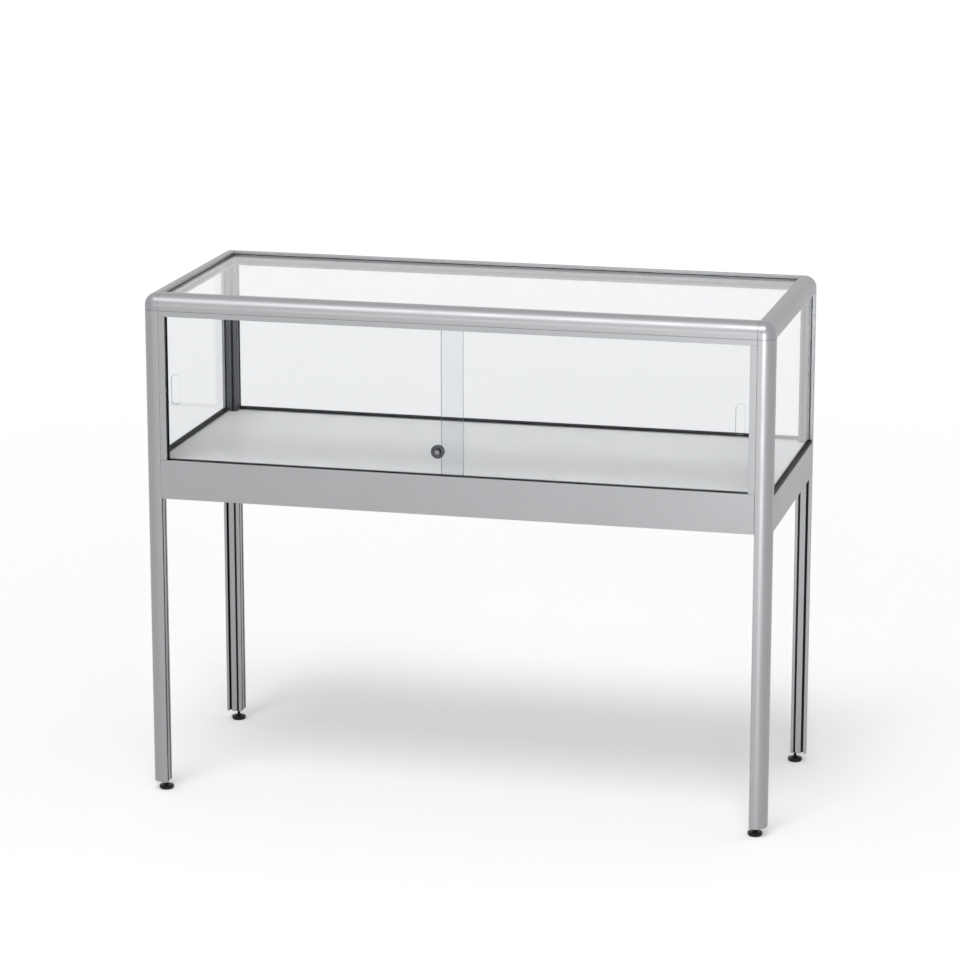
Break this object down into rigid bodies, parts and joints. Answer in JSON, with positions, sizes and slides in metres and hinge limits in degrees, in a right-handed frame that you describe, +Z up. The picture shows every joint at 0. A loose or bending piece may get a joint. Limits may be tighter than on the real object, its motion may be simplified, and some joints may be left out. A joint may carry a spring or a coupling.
{
  "type": "display case",
  "caption": "Low glazed showcase on tall aluminium profile legs, with sliding glass doors, a push lock, a laminated deck and levelling feet.",
  "frame": {"origin": "on the floor, under the middle of the case", "axes": "+X to the right along the case as its doors are faced, +Y from the doors to the back, +Z up"},
  "size_m": [1.2, 0.508, 0.977],
  "materials": {
    "anodised_aluminium": "natural anodised, fine satin",
    "mill_aluminium": "mill finish",
    "cast_corner": "die-cast zinc, satin grey coating",
    "blackened_steel": "black zinc plating",
    "foot_plastic": "moulded nylon, fine texture",
    "black_plastic": "extruded, satin",
    "gasket_rubber": "extruded EPDM, matt",
    "grey_laminate": "light grey melamine laminate on board, fine pearl texture",
    "clear_glass": "clear float glass, polished edges",
    "dark_chrome": "dark nickel plating"
  },
  "bodies": {
    "frame": {"post_front_left": "anodised_aluminium", "corner_connector_front_left": "cast_corner", "foot_insert_front_left": "blackened_steel", "post_front_right": "anodised_aluminium", "corner_connector_front_right": "cast_corner", "foot_insert_front_right": "blackened_steel", "post_back_right": "anodised_aluminium", "corner_connector_back_right": "cast_corner", "foot_insert_back_right": "blackened_steel", "post_back_left": "anodised_aluminium", "corner_connector_back_left": "cast_corner", "foot_insert_back_left": "blackened_steel", "top_rail_front": "anodised_aluminium", "base_rail_front": "anodised_aluminium", "rail_bracket_front_a": "mill_aluminium", "rail_bracket_front_b": "mill_aluminium", "top_rail_right": "anodised_aluminium", "base_rail_right": "anodised_aluminium", "rail_bracket_right_a": "mill_aluminium", "rail_bracket_right_b": "mill_aluminium", "top_rail_back": "anodised_aluminium", "base_rail_back": "anodised_aluminium", "rail_bracket_back_a": "mill_aluminium", "rail_bracket_back_b": "mill_aluminium", "top_rail_left": "anodised_aluminium", "base_rail_left": "anodised_aluminium", "rail_bracket_left_a": "mill_aluminium", "rail_bracket_left_b": "mill_aluminium", "glass_top": "clear_glass", "gasket_top": "gasket_rubber", "glass_left": "clear_glass", "gasket_left": "gasket_rubber", "glass_right": "clear_glass", "gasket_right": "gasket_rubber", "glass_back": "clear_glass", "gasket_back": "gasket_rubber", "deck": "grey_laminate", "door_track_top": "anodised_aluminium", "door_track_bottom": "black_plastic", "door_jamb_left": "anodised_aluminium", "door_jamb_right": "anodised_aluminium", "jamb_lining_left": "black_plastic", "jamb_lining_right": "black_plastic"},
    "door_left": {"door_left_glass": "clear_glass", "lock_barrel": "dark_chrome", "lock_nut": "dark_chrome"},
    "door_right": {"door_right_glass": "clear_glass"},
    "lock_plunger": {"lock_plunger": "dark_chrome"},
    "lock_core": {"lock_core": "dark_chrome"},
    "foot_front_left": {"foot_pad_front_left": "foot_plastic", "foot_stem_front_left": "blackened_steel"},
    "foot_front_right": {"foot_pad_front_right": "foot_plastic", "foot_stem_front_right": "blackened_steel"},
    "foot_back_right": {"foot_pad_back_right": "foot_plastic", "foot_stem_back_right": "blackened_steel"},
    "foot_back_left": {"foot_pad_back_left": "foot_plastic", "foot_stem_back_left": "blackened_steel"}
  },
  "joints": [
    {"name": "door_left_slide", "type": "slide", "parent": "frame", "child": "door_left", "axis": [-1, 0, 0], "range_m": [-0.546, 0]},
    {"name": "door_right_slide", "type": "slide", "parent": "frame", "child": "door_right", "axis": [1, 0, 0], "range_m": [-0.5425, 0]},
    {"name": "lock_push", "type": "slide", "parent": "door_left", "child": "lock_plunger", "axis": [0, 1, 0], "range_m": [0, 0.0046]},
    {"name": "lock_key_turn", "type": "hinge", "parent": "lock_plunger", "child": "lock_core", "pos_m": [-0.0288, -0.251, 0.704], "axis": [0, 1, 0], "range_deg": [0, 90]},
    {"name": "foot_front_left_turn", "type": "hinge", "parent": "frame", "child": "foot_front_left", "pos_m": [-0.5775, -0.2315, 0.02], "axis": [0, 0, 1], "continuous": true},
    {"name": "foot_front_right_turn", "type": "hinge", "parent": "frame", "child": "foot_front_right", "pos_m": [0.5775, -0.2315, 0.02], "axis": [0, 0, 1], "continuous": true},
    {"name": "foot_back_right_turn", "type": "hinge", "parent": "frame", "child": "foot_back_right", "pos_m": [0.5775, 0.2315, 0.02], "axis": [0, 0, 1], "continuous": true},
    {"name": "foot_back_left_turn", "type": "hinge", "parent": "frame", "child": "foot_back_left", "pos_m": [-0.5775, 0.2315, 0.02], "axis": [0, 0, 1], "continuous": true}
  ]
}
